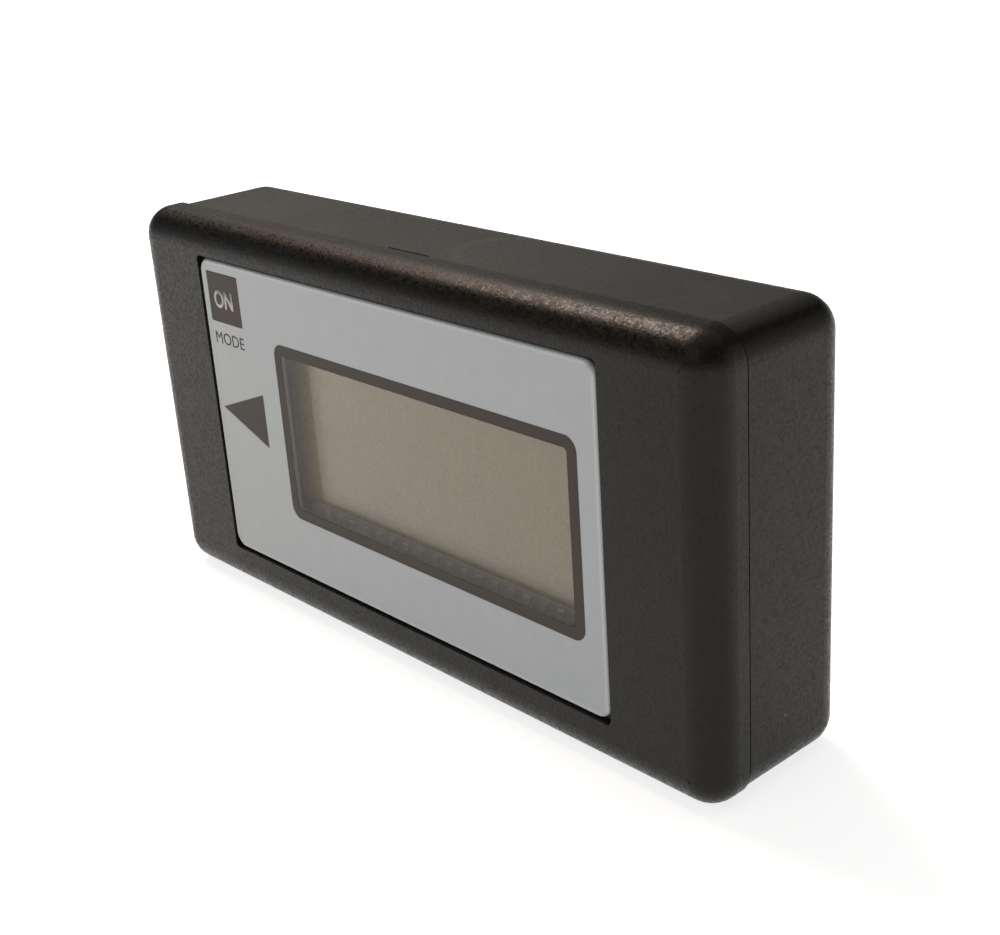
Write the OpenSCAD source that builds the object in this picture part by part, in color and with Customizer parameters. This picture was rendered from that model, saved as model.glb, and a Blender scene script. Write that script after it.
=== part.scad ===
// Hand-held wireless engine tachometer in a two-shell moulded case.
// X runs along the face, Y runs into the depth and Z is up. The face looks along -Y.
// The origin is the centre of the bottom, on the surface that the case stands on.
// A depth is counted from the flat front face, and a place on the face is (x, z).

/* [Face] */
// Width of the clear window
window_w = 47.6; // [40:0.2:56]
// Height of the clear window
window_h = 19.6; // [16:0.2:24]
// Width of the ON key
key_w = 6.5; // [5.5:0.1:8]
// Height of the ON key
key_h = 6.2; // [5.5:0.1:7]
// Label edge to the left of the key
key_margin_x = 1.4; // [1:0.1:3]
// Label edge above the key
key_margin_z = 1.5; // [1:0.1:2.5]
// Label between the key and the window
key_to_window = 7.6; // [7:0.1:12]
// Label edge to the right of the window
window_margin_x = 4.3; // [3:0.1:8]
// Label under the window
window_margin_low = 9.3; // [7:0.1:12]
// Label above the window
window_margin_high = 9.7; // [8:0.1:12]
// Thickness of the label
label_t = 0.5; // [0.3:0.05:0.6]
// Corner radius of the label
label_r = 1.8; // [1:0.1:3]

/* [Case] */
// Case to the left of the label
left_border = 13.6; // [12:0.1:18]
// Case to the right of the label
right_border = 14; // [12:0.1:18]
// Case under the label
low_border = 5.9; // [5:0.1:9]
// Case above the label
top_border = 4.5; // [4:0.1:7]
// Depth of the front shell
front_d = 5.2; // [5:0.1:6.5]
// Depth of the rear shell
rear_d = 15.6; // [15:0.1:22]
// Radius of the rounded edges and corners
edge_r = 3.6; // [3:0.1:4]
// How far the front shell stands proud of the rear shell
shell_step = 0.3; // [0.1:0.05:0.5]
// Shadow gap round the case between the shells
shadow_gap = 0.5; // [0.2:0.05:0.6]
// Side wall of both shells
wall_t = 2.2; // [2:0.1:2.6]
// Front wall
front_t = 2; // [1.8:0.1:2.2]
// Rear wall
rear_t = 2; // [1.6:0.1:2.6]
// Depth of the recess that holds the label
recess_d = 0.7; // [0.65:0.05:0.95]
// Length of the lip that plugs into the front shell
lip_l = 2.2; // [1.8:0.1:2.5]
// Thickness of that lip
lip_t = 0.9; // [0.7:0.05:1]
// Length of a snap bead
bead_w = 9; // [6:0.5:12]
// Height of a snap bead
bead_h = 0.4; // [0.2:0.05:0.5]
// Width of the pry slot at the top of the parting line
pry_w = 7; // [5:0.5:10]

/* [Display] */
// Thickness of each glass
glass_t = 1.1; // [0.7:0.1:1.1]
// Glass beyond the window at each side
glass_lap_x = 2.8; // [2.5:0.1:3.4]
// Glass beyond the window above and below
glass_lap_z = 1.6; // [1.5:0.1:2]
// Pitch of the display pins
pin_pitch = 2.54; // [2:0.01:3]

/* [Board] */
// Height of the screw posts behind the front wall
post_h = 5.2; // [5.1:0.1:6]
// Thickness of the circuit board
board_t = 1.6; // [1:0.1:1.8]
// Room around the board
board_gap = 1.5; // [1:0.1:2.2]
// Radius of a screw post
post_r = 2.5; // [2.2:0.1:3]
// Screw post centre from the board's edges
post_in = 4.2; // [3.6:0.1:5]
// Travel of the ON key
key_travel = 0.25; // [0.15:0.05:0.3]

/* [Battery] */
// Diameter of the coin cell
cell_dia = 24.5; // [20:0.5:25]
// Thickness of the coin cell
cell_t = 5; // [3.2:0.1:5.4]
// Cell centre to the right of the case centre
cell_x = 19; // [17:0.5:20]

/* [Pickup] */
// Diameter of the ferrite rod
rod_dia = 4; // [3:0.1:5]
// Length of the ferrite rod
rod_l = 18; // [16:0.5:20]
// Outside diameter of the winding
winding_dia = 8; // [7:0.1:9]
// Rod end from the left edge of the board
rod_in = 0.6; // [0.4:0.1:2]

/* [Hidden] */

// Facets of full circles and of the rounded case edges
$fn = 48;
// Length by which a cut runs past what it cuts
overrun = 0.5;
// Length by which joined solids of one piece reach into each other
join = 0.2;

// Case, from the label outwards
label_w = key_margin_x + key_w + key_to_window + window_w + window_margin_x;
label_h = window_margin_low + window_h + window_margin_high;
case_w = left_border + label_w + right_border;
case_h = label_h + low_border + top_border;
case_d = front_d + rear_d;
label_x = left_border + label_w / 2 - case_w / 2;
label_z = low_border + label_h / 2;
// Gap between the label and the wall of its recess, and at the left, where the label was pushed home
recess_gap = 0.3;
recess_gap_left = 0.05;
// Corner radius of the recess
recess_r = 0.7;
// Corner radius of the hollow inside the shells
hollow_r = 1.2;
// Clearance round the lip in the front shell
lip_gap = 0.1;
// Length of a snap bead along the depth
bead_l = 1;
// Snap bead centre from the end of the case
bead_in = 20;
// Depth of the pry slot into the top, and its length behind the parting line
pry_cut = 1;
pry_l = 0.5;
// Thickness and height of the ribs inside the rear wall
rib_t = 1.2;
rib_h = 1.5;
// Ribs to each side of the middle of the rear wall
rib_pitch = case_w / 4;

// Window and key, on the face
window_x = label_x + label_w / 2 - window_margin_x - window_w / 2;
window_z = low_border + window_margin_low + window_h / 2;
key_x = label_x + key_margin_x + key_w / 2 - label_w / 2;
key_z = low_border + label_h - key_margin_z - key_h / 2;
// Corner radius of the clear window
window_r = 0.5;
// How far the opening behind the label is wider and higher than the clear window, each side
opening_lap_x = 2.2;
opening_lap_z = 1.6;
opening_w = window_w + 2 * opening_lap_x;
opening_h = window_h + 2 * opening_lap_z;
opening_r = window_r + opening_lap_z;
// Gap around the lens
lens_gap = 0.1;
// Gap around the part of the label that moves with the key
patch_gap = 0.06;
// How far the key is wider than the printed square, each side
key_over = 0.1;
// Gap around the key in the front wall
key_gap = 0.12;
// How far the key's flange is wider than the key, each side
flange_over = 0.9;
// Play between the flange and the front wall, and between the key and the switch stem
key_play = 0.06;
// Corner radius of the key
key_r = 0.5;

// Display stack, by depth
gasket_t = 0.5;
gasket_wide = 2;
polariser_t = 0.3;
reflector_t = 0.25;
gasket_back = front_t + gasket_t;
glass_front = gasket_back + polariser_t;
glass_middle = glass_front + glass_t;
glass_back = glass_middle + glass_t;
reflector_back = glass_back + reflector_t;
glass_w = window_w + 2 * glass_lap_x;
glass_h = window_h + 2 * glass_lap_z;
// How far the polarisers stay inside the edge of the rear glass
polariser_in = 0.2;
// How far they end inside the window's upper and lower edges
polariser_low = 0.4;
// Pins: clip width, leg width, sheet thickness, grip on the glass and length behind the board
pin_w = 1;
pin_leg_w = 0.5;
pin_t = 0.25;
pin_grip = 1.2;
pin_tail = 1.2;
pin_hole_r = 0.45;
// Glass kept free of pins at both ends together
pin_edge = 3.5;
pin_count = floor((glass_w - pin_edge) / pin_pitch) + 1;
pin_z = glass_h / 2 + pin_t / 2;
spacer_w = 4;

// Board
board_front = front_t + post_h;
board_back = board_front + board_t;
board_w = case_w - 2 * (wall_t + board_gap);
board_h = case_h - 2 * (wall_t + board_gap);
board_r = 1;
board_z = case_h / 2;
post_x = board_w / 2 - post_in;
post_z = board_h / 2 - post_in;
// Screws: shank, its clearance in the post, head and its cross recess
screw_r = 1.1;
screw_gap = 0.05;
screw_l = 4.4;
screw_head_r = 2.1;
screw_head_h = 1.5;
screw_hole_r = 1.3;
cross_w = 0.5;
cross_l = 2.2;
cross_d = 0.7;

// Push switch under the key
switch_w = 6;
switch_h = 3.5;
switch_cover_t = 0.2;
switch_floor_t = 0.8;
switch_well_r = 2.4;
stem_r = 1.75;
stem_out = 0.8;
stem_gap = 0.07;
terminal_w = 0.7;
terminal_t = 0.3;
terminal_z = 2.25;
terminal_hole_r = 0.5;
dome_r = 2.2;
dome_rise = 0.35;
dome_t = 0.1;
// Facets of the dome's wide circle
dome_fn = 360;
// Gap that is left between the stem and the dome when the key is pressed home
stem_spare = 0.05;
switch_front = board_front - switch_h;
switch_well_front = switch_front + switch_cover_t;
switch_well_back = board_front - switch_floor_t;
stem_front = switch_front - stem_out;
stem_back = switch_well_back - dome_rise - key_travel - stem_spare;
dome_sphere_r = (dome_r * dome_r + dome_rise * dome_rise) / (2 * dome_rise);

// Coin cell in its holder
holder_gap = 0.3;
holder_wall = 1.4;
// Feet that hold the floor clear of the display pins
holder_foot_h = 1.5;
holder_foot_r = 1.2;
holder_foot_dx = 9;
holder_foot_dz = 6;
holder_floor_t = 1;
holder_wall_h = 4.2;
contact_w = 5;
contact_t = 0.3;
// Width of the solder leg of the minus contact, and the slot around it
contact_leg_w = 1.5;
contact_leg_gap = 0.1;
cell_r = cell_dia / 2;
cell_bevel = 0.6;
holder_r = cell_r + holder_gap + holder_wall;
holder_floor_front = board_back + holder_foot_h;
holder_floor_back = holder_floor_front + holder_floor_t;
cell_front = holder_floor_back + contact_t;
cell_back = cell_front + cell_t;
strap_x = holder_r + holder_gap;

// Pickup coil at the end that the arrow on the label points to
bobbin_tube_t = 0.6;
bobbin_flange_t = 1.2;
bobbin_rim = 0.6;
bobbin_l = 13;
rod_gap = 0.05;
winding_gap = 0.05;
bobbin_half = winding_dia / 2 + bobbin_rim;
pickup_depth = board_back + bobbin_half;
pickup_x = rod_in + rod_l / 2 - board_w / 2;

// Controller chip between the pickup and the cell
chip_w = 10;
chip_t = 1.4;
chip_stand = 0.1;
chip_x = -10;
chip_sides = 4;
lead_count = 11;
lead_pitch = 0.8;
lead_w = 0.35;
lead_t = 0.15;
lead_out = 1;
lead_foot = 0.5;
// Amplifier chip beside the pickup
amp_w = 5;
amp_h = 4;
amp_dz = -14;
amp_leads = 4;
amp_pitch = 1.27;
// Small parts on the back of the board
crystal_r = 1;
crystal_l = 6;
crystal_dz = 9;
capacitor_r = 2.5;
capacitor_l = 7;
capacitor_dx = 11;
capacitor_base_t = 1.2;
crimp_l = 0.6;
crimp_in = 0.25;
capacitor_dz = -14;
part_l = 2;
part_w = 1.25;
part_t = 0.55;
part_pitch = 2.6;
resistor_count = 5;
resistor_dz = 15.5;
chip_capacitor_t = 0.9;
chip_capacitor_dz = -9;
chip_capacitor_count = 3;

// Shapes

module rounded(w, h, r) {
    square([w - 2 * r, h], center = true);
    square([w, h - 2 * r], center = true);
    for (sx = [-1, 1], sz = [-1, 1])
        translate([sx * (w / 2 - r), sz * (h / 2 - r)]) circle(r);
}

// A plate between two depths, from an outline drawn on the face
module slab(near, far) {
    translate([0, far - case_d / 2, 0])
        rotate([90, 0, 0])
            linear_extrude(far - near) children();
}

// A rectangular block between two depths
module block(x, z, w, h, near, far) {
    slab(near, far) translate([x, z]) square([w, h], center = true);
}

// A round bar or bore between two depths
module bar(x, z, r, near, far) {
    slab(near, far) translate([x, z]) circle(r);
}

// Cross-section of a shell with its two rounded edges, across by deep
module edge_section(across, deep, r) {
    translate([-across / 2, r]) square([across, deep - r]);
    translate([r - across / 2, 0]) square([across - 2 * r, deep]);
    intersection() {
        for (s = [-1, 1]) translate([s * (across / 2 - r), r]) circle(r);
        translate([-across / 2, 0]) square([across, r]);
    }
}

// A box with rounded corners and rounded front edges, from depth zero to its open back
module pillow(w, h, deep, r) {
    translate([0, 0, r]) linear_extrude(h - 2 * r) edge_section(w, deep, r);
    translate([0, 0, h / 2]) rotate([0, -90, 0])
        translate([0, 0, r - w / 2]) linear_extrude(w - 2 * r) edge_section(h, deep, r);
    for (sx = [-1, 1], sz = [-1, 1])
        translate([sx * (w / 2 - r), 0, h / 2 + sz * (h / 2 - r)])
            rotate([-90, 0, 0])
                rotate_extrude() {
                    translate([0, r]) square([r, deep - r]);
                    intersection() {
                        translate([0, r]) circle(r);
                        square(r);
                    }
                }
}

// Outline of the hollow at a given inset from the case
module inset_outline(inset, r) {
    translate([0, case_h / 2]) rounded(case_w - 2 * inset, case_h - 2 * inset, r);
}

module at_posts() {
    for (sx = [-1, 1], sz = [-1, 1]) translate([sx * post_x, 0, board_z + sz * post_z]) children();
}

// A snap bead on the top and bottom of the lip, or its pocket when grown by a gap
module snap_beads(gap) {
    base = wall_t - lip_t;
    mid = front_d - lip_l / 2;
    for (sx = [-1, 1], side = [0, 1])
        translate([sx * (case_w / 2 - bead_in), mid - case_d / 2, side * case_h])
            mirror([0, 0, side])
                rotate([90, 0, 90])
                    linear_extrude(bead_w + 2 * gap, center = true)
                        polygon([
                            [-bead_l / 2 - gap, base + join],
                            [-bead_l / 2 - gap, base],
                            [0, base - bead_h - gap],
                            [bead_l / 2 + gap, base],
                            [bead_l / 2 + gap, base + join]
                        ]);
}

// Case

module front_shell() {
    hollow_top = front_d + overrun;
    rebate = wall_t - lip_t - lip_gap;
    color([0.16, 0.16, 0.155]) difference() {
        union() {
            difference() {
                translate([0, -case_d / 2, 0]) pillow(case_w, case_h, front_d, edge_r);
                slab(front_t, hollow_top) inset_outline(wall_t, hollow_r);
                slab(front_d - lip_l, hollow_top)
                    inset_outline(rebate, hollow_r + wall_t - rebate);
                snap_beads(lip_gap);
            }
            at_posts() bar(0, 0, post_r, front_t - join, board_front);
        }
        slab(-overrun, recess_d)
            translate([label_x + (recess_gap - recess_gap_left) / 2, label_z])
                rounded(label_w + recess_gap + recess_gap_left, label_h + 2 * recess_gap, recess_r);
        slab(0, front_t + overrun)
            translate([window_x, window_z]) rounded(opening_w, opening_h, opening_r);
        slab(0, front_t + overrun)
            translate([key_x, key_z])
                rounded(key_w + 2 * (key_over + key_gap), key_h + 2 * (key_over + key_gap), key_r);
        at_posts() bar(0, 0, screw_r, board_front - screw_l, board_front + overrun);
    }
}

module rear_shell() {
    rear_w = case_w - 2 * shell_step;
    rear_h = case_h - shell_step;
    lip_front = front_d - lip_l;
    skin_front = front_d + shadow_gap;
    color([0.17, 0.17, 0.165]) difference() {
        union() {
            translate([0, case_d / 2, 0])
                mirror([0, 1, 0]) pillow(rear_w, rear_h, case_d - skin_front, edge_r);
            slab(lip_front, skin_front + join)
                inset_outline(wall_t - lip_t, hollow_r + lip_t);
            snap_beads(0);
        }
        slab(lip_front - overrun, case_d - rear_t) inset_outline(wall_t, hollow_r);
        block(0, rear_h, pry_w, 2 * pry_cut, front_d, skin_front + pry_l);
    }
    color([0.17, 0.17, 0.165])
        for (s = [-1, 0, 1])
            block(s * rib_pitch, case_h / 2, rib_t, case_h - 2 * wall_t + 2 * join,
                case_d - rear_t - rib_h, case_d - rear_t + join);
}

// Face

module face_label() {
    color([0.64, 0.64, 0.65])
        slab(recess_d - label_t, recess_d)
            difference() {
                translate([label_x, label_z]) rounded(label_w, label_h, label_r);
                translate([window_x, window_z]) rounded(window_w, window_h, window_r);
                translate([key_x, key_z])
                    square([key_w + 2 * patch_gap, key_h + 2 * patch_gap], center = true);
            }
}

module label_key_area() {
    color([0.31, 0.28, 0.25]) block(key_x, key_z, key_w, key_h, recess_d - label_t, recess_d);
}

module on_key() {
    wide = key_w + 2 * key_over;
    high = key_h + 2 * key_over;
    color([0.2, 0.2, 0.2]) {
        slab(recess_d, front_t + key_play + join)
            translate([key_x, key_z]) rounded(wide, high, key_r);
        slab(front_t + key_play, stem_front - key_play)
            translate([key_x, key_z])
                rounded(wide + 2 * flange_over, high + 2 * flange_over, key_r);
    }
}

module window_lens() {
    color([0.85, 0.88, 0.88, 0.35]) {
        slab(recess_d, front_t)
            translate([window_x, window_z])
                rounded(opening_w - 2 * lens_gap, opening_h - 2 * lens_gap, opening_r - lens_gap);
        slab(recess_d - label_t, recess_d + join)
            translate([window_x, window_z])
                rounded(window_w - 2 * patch_gap, window_h - 2 * patch_gap, window_r);
    }
}

module window_gasket() {
    color([0.1, 0.1, 0.1])
        slab(front_t, gasket_back)
            translate([window_x, window_z])
                difference() {
                    rounded(opening_w + 2 * gasket_wide, opening_h + 2 * gasket_wide, opening_r);
                    rounded(opening_w, opening_h, opening_r);
                }
}

// Display

module display_polariser() {
    color([0.62, 0.61, 0.54])
        block(window_x, window_z, glass_w - 2 * polariser_in, window_h - 2 * polariser_low,
            gasket_back, glass_front);
}

module display_front_glass() {
    color([0.8, 0.85, 0.82, 0.35])
        block(window_x, window_z, glass_w, glass_h, glass_front, glass_middle);
}

module display_rear_glass() {
    color([0.8, 0.85, 0.82, 0.35])
        block(window_x, window_z, glass_w, window_h, glass_middle, glass_back);
}

module display_reflector() {
    color([0.56, 0.55, 0.49])
        block(window_x, window_z, glass_w - 2 * polariser_in, window_h - 2 * polariser_low,
            glass_back, reflector_back);
}

// One pin: two fingers that grip the front glass, and a leg through the board
module display_pin() {
    block(0, pin_z, pin_w, pin_t, glass_front - pin_t, glass_middle + pin_t);
    for (near = [glass_front - pin_t, glass_middle])
        block(0, pin_z - pin_grip / 2, pin_w, pin_grip, near, near + pin_t);
    block(0, pin_z, pin_leg_w, pin_t, glass_middle, board_back + pin_tail);
}

module at_pins() {
    for (i = [0:pin_count - 1], side = [0, 1])
        translate([window_x + (i - (pin_count - 1) / 2) * pin_pitch, 0, window_z])
            mirror([0, 0, side]) children();
}

module display_pins() {
    color([0.75, 0.74, 0.7]) at_pins() display_pin();
}

module display_spacer() {
    color([0.93, 0.92, 0.88])
        for (s = [-1, 1])
            block(window_x + s * (window_w / 2 - spacer_w), window_z, spacer_w, window_h - 2 * polariser_low,
                reflector_back, board_front);
}

// Board

module circuit_board() {
    color([0.1, 0.35, 0.2]) difference() {
        slab(board_front, board_back) translate([0, board_z]) rounded(board_w, board_h, board_r);
        at_posts() bar(0, 0, screw_hole_r, board_front - overrun, board_back + overrun);
        at_pins() bar(0, pin_z, pin_hole_r, board_front - overrun, board_back + overrun);
        at_terminals() bar(0, 0, terminal_hole_r, board_front - overrun, board_back + overrun);
    }
}

module board_screws() {
    head_back = board_back + screw_head_h;
    color([0.72, 0.72, 0.74]) at_posts() difference() {
        union() {
            bar(0, 0, screw_r - screw_gap, board_front - screw_l + screw_gap, board_back + join);
            bar(0, 0, screw_head_r, board_back, head_back);
        }
        block(0, 0, cross_w, cross_l, head_back - cross_d, head_back + overrun);
        block(0, 0, cross_l, cross_w, head_back - cross_d, head_back + overrun);
    }
}

// Switch

module at_terminals() {
    for (sx = [-1, 1], sz = [-1, 1])
        translate([key_x + sx * (switch_w / 2 + terminal_t / 2), 0, key_z + sz * terminal_z]) children();
}

module switch_base() {
    color([0.12, 0.12, 0.12]) difference() {
        block(key_x, key_z, switch_w, switch_w, switch_well_front, board_front);
        bar(key_x, key_z, switch_well_r, switch_well_front - overrun, switch_well_back);
    }
}

module switch_terminals() {
    color([0.76, 0.75, 0.72])
        at_terminals()
            block(0, 0, terminal_t, terminal_w, switch_well_back, board_back + pin_tail);
}

module switch_cover() {
    color([0.78, 0.78, 0.78]) difference() {
        block(key_x, key_z, switch_w, switch_w, switch_front, switch_well_front);
        bar(key_x, key_z, stem_r + stem_gap, switch_front - overrun, switch_well_front + overrun);
    }
}

module switch_dome() {
    crown = switch_well_back - dome_rise;
    color([0.8, 0.8, 0.78])
        translate([key_x, crown - case_d / 2, key_z])
            rotate([-90, 0, 0])
                rotate_extrude()
                    intersection() {
                        translate([0, dome_sphere_r]) difference() {
                            circle(dome_sphere_r, $fn = dome_fn);
                            circle(dome_sphere_r - dome_t, $fn = dome_fn);
                        }
                        square([dome_r, dome_rise]);
                    }
}

module switch_stem() {
    shoulder_front = switch_well_front + key_play;
    color([0.15, 0.15, 0.15]) {
        bar(key_x, key_z, stem_r, stem_front, shoulder_front + join);
        bar(key_x, key_z, switch_well_r - stem_gap, shoulder_front, stem_back);
    }
}

// Battery

module battery_holder() {
    inner_r = cell_r + holder_gap;
    strap_w = contact_w + 2 * holder_gap;
    wall_back = holder_floor_back + holder_wall_h;
    color([0.13, 0.13, 0.14]) {
        difference() {
            bar(cell_x, board_z, holder_r, holder_floor_front, wall_back);
            bar(cell_x, board_z, inner_r, holder_floor_back, wall_back + overrun);
            block(cell_x, board_z - holder_r, strap_w, holder_r, holder_floor_back, case_d);
            block(cell_x, board_z, contact_t + 2 * contact_leg_gap, contact_leg_w + 2 * contact_leg_gap,
                board_back, holder_floor_back + overrun);
        }
        for (sx = [-1, 1], sz = [-1, 1])
            bar(cell_x + sx * holder_foot_dx, board_z + sz * holder_foot_dz, holder_foot_r,
                board_back, holder_floor_front + join);
    }
}

module battery_contact_minus() {
    color([0.8, 0.79, 0.74]) {
        block(cell_x, board_z, cell_r, contact_w, holder_floor_back, cell_front);
        block(cell_x, board_z, contact_t, contact_leg_w, board_back, holder_floor_back + join);
    }
}

module battery_contact_plus() {
    reach = strap_x + contact_t;
    color([0.8, 0.79, 0.74]) {
        for (s = [-1, 1])
            block(cell_x + s * (strap_x + contact_t / 2), board_z, contact_t, contact_w,
                board_back, cell_back + contact_t);
        block(cell_x, board_z, 2 * reach, contact_w, cell_back, cell_back + contact_t);
    }
}

module coin_cell() {
    rim = cell_back - cell_bevel;
    color([0.78, 0.78, 0.77]) {
        bar(cell_x, board_z, cell_r - cell_bevel, cell_front, rim);
        bar(cell_x, board_z, cell_r, cell_front + cell_bevel, cell_back);
    }
}

// Pickup, its axis along X

module along_pickup(r, from, to) {
    translate([pickup_x, pickup_depth - case_d / 2, board_z])
        rotate([0, 90, 0])
            translate([0, 0, from]) cylinder(r = r, h = to - from);
}

module pickup_bobbin() {
    tube_r = rod_dia / 2 + rod_gap + bobbin_tube_t;
    flange_x = bobbin_l / 2 - bobbin_flange_t / 2;
    color([0.82, 0.8, 0.72]) difference() {
        union() {
            along_pickup(tube_r, -bobbin_l / 2, bobbin_l / 2);
            for (s = [-1, 1])
                block(pickup_x + s * flange_x, board_z, bobbin_flange_t, 2 * bobbin_half,
                    board_back, pickup_depth + bobbin_half);
        }
        along_pickup(rod_dia / 2 + rod_gap, -bobbin_l, bobbin_l);
    }
}

module pickup_rod() {
    color([0.2, 0.19, 0.19]) along_pickup(rod_dia / 2, -rod_l / 2, rod_l / 2);
}

module pickup_winding() {
    half = bobbin_l / 2 - bobbin_flange_t - winding_gap;
    bore_r = rod_dia / 2 + rod_gap + bobbin_tube_t + winding_gap;
    color([0.62, 0.32, 0.14]) difference() {
        along_pickup(winding_dia / 2, -half, half);
        along_pickup(bore_r, -bobbin_l, bobbin_l);
    }
}

// Electronics on the back of the board

// One gull-wing lead that leaves a chip body along +X from its edge
module gull_lead(edge, height) {
    foot_from = edge + lead_out - lead_foot;
    block(edge + (lead_out - lead_foot) / 2, 0, lead_out - lead_foot, lead_w,
        height - lead_t, height);
    block(foot_from, 0, lead_t, lead_w, board_back, height);
    block(foot_from + lead_foot / 2, 0, lead_foot, lead_w, board_back, board_back + lead_t);
}

lead_height = board_back + chip_stand + chip_t / 2;

module controller_chip() {
    color([0.09, 0.09, 0.1])
        block(chip_x, board_z, chip_w, chip_w,
            board_back + chip_stand, board_back + chip_stand + chip_t);
}

module controller_leads() {
    color([0.75, 0.75, 0.73])
        for (side = [0:chip_sides - 1], i = [0:lead_count - 1])
            translate([chip_x, 0, board_z])
                rotate([0, side * 90, 0])
                    translate([0, 0, (i - (lead_count - 1) / 2) * lead_pitch])
                        gull_lead(chip_w / 2, lead_height);
}

module amplifier_chip() {
    color([0.1, 0.1, 0.11])
        block(pickup_x, board_z + amp_dz, amp_h, amp_w,
            board_back + chip_stand, board_back + chip_stand + chip_t);
}

module amplifier_leads() {
    color([0.75, 0.75, 0.73])
        for (side = [0, 1], i = [0:amp_leads - 1])
            translate([pickup_x, 0, board_z + amp_dz])
                rotate([0, side * 180, 0])
                    translate([0, 0, (i - (amp_leads - 1) / 2) * amp_pitch])
                        gull_lead(amp_h / 2, lead_height);
}

module clock_crystal() {
    color([0.8, 0.8, 0.82])
        translate([chip_x - crystal_l / 2, board_back + crystal_r - case_d / 2, board_z + crystal_dz])
            rotate([0, 90, 0]) cylinder(r = crystal_r, h = crystal_l);
}

module buffer_capacitor() {
    x = pickup_x + capacitor_dx;
    z = board_z + capacitor_dz;
    crimp = board_back + capacitor_base_t;
    color([0.16, 0.18, 0.3]) {
        bar(x, z, capacitor_r, board_back, crimp);
        bar(x, z, capacitor_r - crimp_in, crimp - join, crimp + crimp_l + join);
        bar(x, z, capacitor_r, crimp + crimp_l, board_back + capacitor_l);
    }
}

module part_row(count, dz, thick) {
    for (i = [0:count - 1])
        block(chip_x + (i - (count - 1) / 2) * part_pitch, board_z + dz, part_w, part_l,
            board_back, board_back + thick);
}

module chip_resistors() {
    color([0.12, 0.12, 0.12]) part_row(resistor_count, resistor_dz, part_t);
}

module chip_capacitors() {
    color([0.7, 0.58, 0.42]) part_row(chip_capacitor_count, chip_capacitor_dz, chip_capacitor_t);
}

front_shell();
rear_shell();
face_label();
label_key_area();
on_key();
window_lens();
window_gasket();
display_polariser();
display_front_glass();
display_rear_glass();
display_reflector();
display_pins();
display_spacer();
circuit_board();
board_screws();
switch_base();
switch_terminals();
switch_cover();
switch_dome();
switch_stem();
battery_holder();
battery_contact_minus();
battery_contact_plus();
coin_cell();
pickup_bobbin();
pickup_rod();
pickup_winding();
controller_chip();
controller_leads();
amplifier_chip();
amplifier_leads();
clock_crystal();
buffer_capacitor();
chip_resistors();
chip_capacitors();
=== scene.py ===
import math

import bmesh
import bpy
from bpy.props import FloatProperty, FloatVectorProperty, PointerProperty
from mathutils import Matrix, Vector


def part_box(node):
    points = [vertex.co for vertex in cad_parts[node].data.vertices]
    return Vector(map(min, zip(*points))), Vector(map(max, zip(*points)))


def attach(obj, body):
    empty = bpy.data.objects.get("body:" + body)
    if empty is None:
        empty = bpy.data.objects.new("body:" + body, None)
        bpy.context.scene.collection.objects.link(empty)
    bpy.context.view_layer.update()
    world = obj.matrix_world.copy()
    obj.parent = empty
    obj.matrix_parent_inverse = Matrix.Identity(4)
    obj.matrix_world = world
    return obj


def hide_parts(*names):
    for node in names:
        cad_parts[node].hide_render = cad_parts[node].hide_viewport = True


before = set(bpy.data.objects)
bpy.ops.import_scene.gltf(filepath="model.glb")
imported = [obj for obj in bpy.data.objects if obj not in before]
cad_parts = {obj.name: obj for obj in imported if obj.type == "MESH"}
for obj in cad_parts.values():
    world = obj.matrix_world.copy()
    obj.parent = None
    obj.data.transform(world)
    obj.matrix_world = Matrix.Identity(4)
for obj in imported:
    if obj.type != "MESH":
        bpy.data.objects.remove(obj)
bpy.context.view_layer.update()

bl_info = {
    "name": "Wireless engine tachometer",
    "version": (1, 0, 0),
    "blender": (4, 5, 0),
    "location": "3D View > Sidebar > Tachometer",
    "description": "Finishes and printed details of a hand-held engine tachometer",
    "category": "Object",
}

MM = 0.001
CASE = "case"
KEY = "key"
LABEL_LOW, LABEL_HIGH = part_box("face_label")
KEY_SQUARE_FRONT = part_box("label_key_area")[0].y
REAR_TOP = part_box("rear_shell")[1].z


def on_label(x, z):
    """A place on the face from millimetres along and up from the label's lower left corner."""
    return LABEL_LOW.x + x * MM, LABEL_LOW.z + z * MM


# Clear window, the arrow's corners and the boxes that the two words fill
WINDOW_LOW, WINDOW_HIGH = on_label(15.5, 9.3), on_label(63.1, 28.9)
WINDOW_CORNER = 0.5 * MM
ARROW = (on_label(1.34, 19.47), on_label(10.53, 16.03), on_label(10.53, 22.92))
MODE_LOW, MODE_HIGH = on_label(1.7, 28.05), on_label(7.85, 29.55)
ON_LOW, ON_HIGH = on_label(2.5, 32.7), on_label(6.45, 35.0)
# How much bolder than the plain letters ON is, as a share of their size
ON_BOLD = 0.03
# Where the soft shade on the display ends and the full light begins, along X and up Z
SHADE_LEFT = (-18.0 * MM, -12.5 * MM)
SHADE_FOOT = (14.0 * MM, 16.5 * MM)
# How much painted glow the display gives off of itself, lifting its shaded recess, and how much of
# its glass is hazy
DISPLAY_PAINTED_GLOW = 0.14
HAZE_SHARE = 0.8
# A faint arc that a rub has left on the top of the rear shell: its middle and radius, how far from
# that radius it starts and stops to fade, and how pale it is
SCUFF_MIDDLE = (8.4 * MM, 1.9 * MM, REAR_TOP)
SCUFF_RADIUS = 5.1 * MM
SCUFF_EDGES = (0.1 * MM, 1.1 * MM)
SCUFF_STRENGTH = 0.07
# Dust that has settled on the case: its colour, how far up a surface faces where it starts and is
# full, and how far apart its specks are, with the edge of a speck as shares of that distance
DUST = "#A2A8AA"
DUSTY_SLOPE = (0.75, 1.0)
SPECK_SPACING = 3 * MM
SPECK_EDGE = (0.025, 0.035)
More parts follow.
